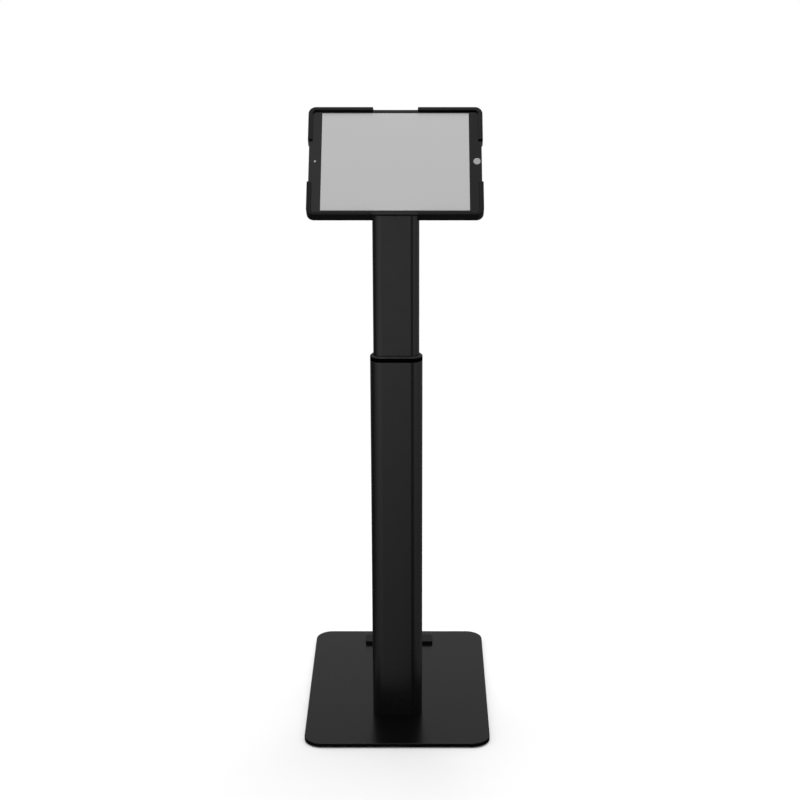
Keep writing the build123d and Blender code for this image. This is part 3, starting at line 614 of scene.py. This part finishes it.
# Each group of screws, the way its heads face, and whether they are sunk
SCREWS = [
    ("base_screws", DOWN, 1.0), ("bridge_screws", DOWN, 1.0), ("spigot_screws", BACK, 0.0),
    ("bushing_screws", BACK, 0.0), ("cap_screws", BACK, 0.0), ("glide_screws", BACK, 1.0),
    ("rotor_screws", FACING, 1.0), ("cradle_screws", -FACING, 0.0), ("hinge_bolt", LEFT, 0.0),
]


def make_screws():
    """Every screw and bolt whose head or end can be seen, on the place of its CAD solid."""
    for number, (node, axis, sunk) in enumerate(SCREWS):
        sizes = [measure(points, axis) for points in islands(node)]
        one = sizes[0]
        shank = one["length"] - one["head height"]
        pitch = 0.35 * one["shank radius"]
        grow(node + "_turned", SCREW, node, [size["top"] for size in sizes], {
            "Facing": one["facing"], "Spin": math.pi / 3, "Seed": 7 + number,
            "Head radius": one["head radius"], "Head height": one["head height"],
            "Shank radius": one["shank radius"], "Length": one["length"], "Sunk": sunk,
            "Thread length": (0.3 if node == "hinge_bolt" else 0.8) * shank,
            "Thread pitch": pitch, "Thread depth": 0.3 * pitch})


def make_feet():
    """The rubber feet under the plate, each from its middle."""
    sizes = [measure(points, DOWN) for points in islands("foot_pads")]
    low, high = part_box("foot_pads")
    middle = Vector((0, 0, (high.z - low.z) / 2))
    grow("ringed_feet", FOOT, "foot_pads", [size["top"] + middle for size in sizes], {
        "Radius": sizes[0]["head radius"], "Height": high.z - low.z})


def make_nuts():
    """The nuts of the hinge and of the turning joint, with bores a little wider than their bolts."""
    for node, axis, bolt in (("hinge_nut", RIGHT, HINGE_BOLT), ("pivot_nut", -FACING, PIVOT_BOLT)):
        size = measure(islands(node)[0], axis)
        grow(node + "_turned", NUT, node, [size["top"]], {
            "Facing": size["facing"], "Radius": size["head radius"], "Height": size["length"],
            "Bore": bolt + BOLT_PLAY})


def spin_profile(name, node, axis, profile, sides=64):
    """A turned piece on the axis of a CAD node. The profile is closed: radius, and depth below the top."""
    size = measure(islands(node)[0], axis)
    place = Matrix.Translation(size["top"]) @ size["facing"].to_matrix().to_4x4()
    body = bmesh.new()
    rings = []
    for step in range(sides):
        angle = 2 * math.pi * step / sides
        way = Vector((math.cos(angle), math.sin(angle), 0))
        rings.append([body.verts.new(place @ (way * radius - Vector((0, 0, depth))))
                      for radius, depth in profile])
    for ring, after in zip(rings, rings[1:] + rings[:1]):
        for index in range(len(profile)):
            other = (index + 1) % len(profile)
            body.faces.new((ring[index], after[index], after[other], ring[other]))
    bmesh.ops.recalc_face_normals(body, faces=body.faces)
    mesh = bpy.data.meshes.new(name)
    body.to_mesh(mesh)
    body.free()
    return show(name, mesh, node)


def rounded(corners, radius, steps=4):
    """A closed outline whose corners are rounded with one radius."""
    points = []
    for index, corner in enumerate(corners):
        here = Vector(corner)
        before = (Vector(corners[index - 1]) - here).normalized() * radius
        after = (Vector(corners[(index + 1) % len(corners)]) - here).normalized() * radius
        for step in range(steps + 1):
            share = step / steps
            points.append(tuple(here + before * (1 - share) ** 2 + after * share ** 2))
    return points


def make_grommet():
    """A soft ring whose neck sits in the tube's wall between two rounded lips."""
    bore, neck, lip = 4.75 * MM, 8.0 * MM, 10.5 * MM
    lip_thick, wall, edge = 1.5 * MM, 2.5 * MM, 0.7 * MM
    depth = 2 * lip_thick + wall
    corners = [(bore, 0), (lip, 0), (lip, lip_thick), (neck, lip_thick), (neck, lip_thick + wall),
               (lip, lip_thick + wall), (lip, depth), (bore, depth)]
    spin_profile("soft_grommet", "cable_grommet", BACK, rounded(corners, edge))


PAD_ROUND = 0.5 * MM


def make_pad():
    """The foam sheet under the tablet, its cut edges a little rounded."""
    body = bmesh.new()
    body.from_mesh(NODES["cradle_pad"].data)
    body.transform(NODES["cradle_pad"].matrix_world)
    bmesh.ops.remove_doubles(body, verts=body.verts, dist=SAME_PLACE)
    bmesh.ops.dissolve_limit(body, angle_limit=math.radians(1), verts=body.verts, edges=body.edges)
    rims = [edge for edge in body.edges if edge.is_manifold and edge.calc_face_angle() > math.radians(60)]
    bmesh.ops.bevel(body, geom=rims, offset=PAD_ROUND, segments=3, affect="EDGES", profile=0.5)
    bmesh.ops.recalc_face_normals(body, faces=body.faces)
    mesh = bpy.data.meshes.new("foam_pad")
    body.to_mesh(mesh)
    body.free()
    show("foam_pad", mesh, "cradle_pad")


# Floor, light and camera

# The floor reaches this far to each side, in metres
FLOOR_REACH = 40.0
PAPER = (0.86, 0.86, 0.86, 1)
WHITE = (1, 1, 1, 1)
# To the camera it fades from its own shading to plain white between these distances, in metres
WHITE_FROM, WHITE_TO = 0.5, 1.8
# Mirrored in a coat, it glows as a painted reflection that brightens between these distances, in metres, from the
# first level to the second
GLOSS_FROM, GLOSS_TO = 0.2, 2.8
GLOSS_NEAR, GLOSS_FAR = 0.38, 1.05
# Mirrored, it is nearly dark along the plate, a painted shade: the width of that shade in metres, and its level at
# the plate
SHADE_WIDTH = 0.06
SHADE_LEVEL = 0.03
# Mirrored, its painted level also follows the bearing from the stand, painting light and dark bands in the coats'
# reflections, in degrees from the front, right positive
PAINTED_REFLECTION_ROUND = [(-155, 0.35), (-125, 0.1), (-95, 0.05), (-75, 0.3), (-55, 0.72), (-38, 1.0), (-18, 1.13),
               (-4, 0.98), (4, 0.98), (9, 0.07), (24, 0.11), (33, 0.85), (45, 0.85), (67, 0.65), (120, 0.3),
               (155, 0.35)]
# The light from all round, and how much more of it comes from the left and less from the right
WORLD_LIGHT = 0.68
WORLD_SIDE = 0.1
# The camera was fitted to the outline of the stand in the photograph
CAMERA_PLACE = (29.67 * MM, -2519.2 * MM, 1335.14 * MM)
CAMERA_PITCH = math.radians(71.885)
CAMERA_LENS = 74.887
CAMERA_SHIFT = -0.01976


def set_ramp(ramp, stops):
    """Sets a ramp's stops from bearings and grey levels."""
    while len(ramp.elements) < len(stops):
        ramp.elements.new(0.5)
    for element, (bearing, level) in zip(ramp.elements, stops):
        element.position = (bearing + 180) / 360
        element.color = (*grey(level), 1)


def painted_floor_reflection(tree, place, far):
    """A painted reflection: how bright the floor glows where the coat mirrors it."""
    depth = spread(tree, far, GLOSS_FROM, GLOSS_TO, GLOSS_NEAR, GLOSS_FAR)
    split = parts_of(tree, place)
    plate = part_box("base_plate")[1]
    gaps = [calc(tree, "SUBTRACT", calc(tree, "ABSOLUTE", split[axis]), half)
            for axis, half in (("X", plate.x), ("Y", plate.y))]
    painted_plate_shade = spread(tree, calc(tree, "MAXIMUM", *gaps), 0.0, SHADE_WIDTH, SHADE_LEVEL, 1.0)
    bearing = calc(tree, "ARCTAN2", split["X"], calc(tree, "MULTIPLY", split["Y"], -1.0))
    ramp = put(tree, "ShaderNodeValToRGB", {"Fac": spread(tree, bearing, -math.pi, math.pi)})
    set_ramp(ramp.color_ramp, PAINTED_REFLECTION_ROUND)
    return calc(tree, "MULTIPLY", calc(tree, "MULTIPLY", depth, ramp.outputs["Color"]), painted_plate_shade)


def make_floor():
    """A wide white floor that keeps the stand's shadow and is plain white further off. In reflections it glows
    with painted levels instead.
    """
    mesh = bpy.data.meshes.new("floor")
    corners = [(x * FLOOR_REACH, y * FLOOR_REACH, 0) for x, y in ((-1, -1), (1, -1), (1, 1), (-1, 1))]
    mesh.from_pydata(corners, [], [(0, 1, 2, 3)])
    floor = bpy.data.objects.new("floor", mesh)
    bpy.context.scene.collection.objects.link(floor)
    material = bpy.data.materials.new("floor_white")
    material.use_nodes = True
    tree = material.node_tree
    tree.nodes.clear()
    place = own_place(tree)
    far = put(tree, "ShaderNodeVectorMath", {0: place}, operation="LENGTH").outputs["Value"]
    seen = put(tree, "ShaderNodeLightPath").outputs
    fade = spread(tree, far, WHITE_FROM, WHITE_TO, interpolation_type="SMOOTHSTEP")
    white = calc(tree, "MULTIPLY", fade, seen["Is Camera Ray"])
    paper = put(tree, "ShaderNodeBsdfDiffuse", {"Color": PAPER})
    glow = put(tree, "ShaderNodeEmission", {"Color": WHITE, "Strength": 1.0})
    plain = put(tree, "ShaderNodeMixShader", {0: white, 1: paper.outputs[0], 2: glow.outputs[0]})
    # Painted reflection: to glossy rays the floor is a glow whose level is painted
    painted_reflection_glow = put(tree, "ShaderNodeEmission", {"Color": WHITE, "Strength": painted_floor_reflection(tree, place, far)})
    both = put(tree, "ShaderNodeMixShader", {
        0: seen["Is Glossy Ray"], 1: plain.outputs[0], 2: painted_reflection_glow.outputs[0]})
    put(tree, "ShaderNodeOutputMaterial", {"Surface": both.outputs[0]})
    mesh.materials.append(material)


def make_world():
    """Even white light from all round, a little stronger from the left, and white to the camera."""
    world = bpy.data.worlds.new("studio")
    bpy.context.scene.world = world
    world.use_nodes = True
    tree = world.node_tree
    tree.nodes.clear()
    seen = put(tree, "ShaderNodeLightPath").outputs
    eye = calc(tree, "MAXIMUM", seen["Is Camera Ray"], seen["Is Transmission Ray"])
    way = parts_of(tree, put(tree, "ShaderNodeTexCoord").outputs["Generated"])
    side = spread(tree, way["X"], -1.0, 1.0, WORLD_LIGHT + WORLD_SIDE, WORLD_LIGHT - WORLD_SIDE)
    back = put(tree, "ShaderNodeBackground", {"Color": WHITE, "Strength": spread(tree, eye, to_low=side)})
    put(tree, "ShaderNodeOutputWorld", {"Surface": back.outputs[0]})


def make_lamp(name, place, aim, size, power):
    """A square soft box that points at a spot, in metres and watts."""
    light = bpy.data.lights.new(name, "AREA")
    light.shape = "RECTANGLE"
    light.size = light.size_y = size
    light.energy = power
    lamp = bpy.data.objects.new(name, light)
    bpy.context.scene.collection.objects.link(lamp)
    lamp.location = place
    lamp.rotation_euler = (Vector(aim) - Vector(place)).to_track_quat("-Z", "Y").to_euler()


def make_camera():
    """The photograph's view."""
    camera = bpy.data.cameras.new("camera")
    camera.sensor_width = 36.0
    camera.lens = CAMERA_LENS
    camera.shift_x = CAMERA_SHIFT
    view = bpy.data.objects.new("camera", camera)
    view.location = CAMERA_PLACE
    view.rotation_euler = (CAMERA_PITCH, 0, 0)
    bpy.context.scene.collection.objects.link(view)
    bpy.context.scene.camera = view


finish_nodes()
make_screws()
make_feet()
make_nuts()
make_grommet()
make_pad()
make_floor()
make_world()
make_lamp("soft_box_above", place=(0.1, 0.3, 4.0), aim=(0, 0, 0.4), size=1.8, power=100)
make_camera()
bpy.context.scene.view_settings.view_transform = "Standard"
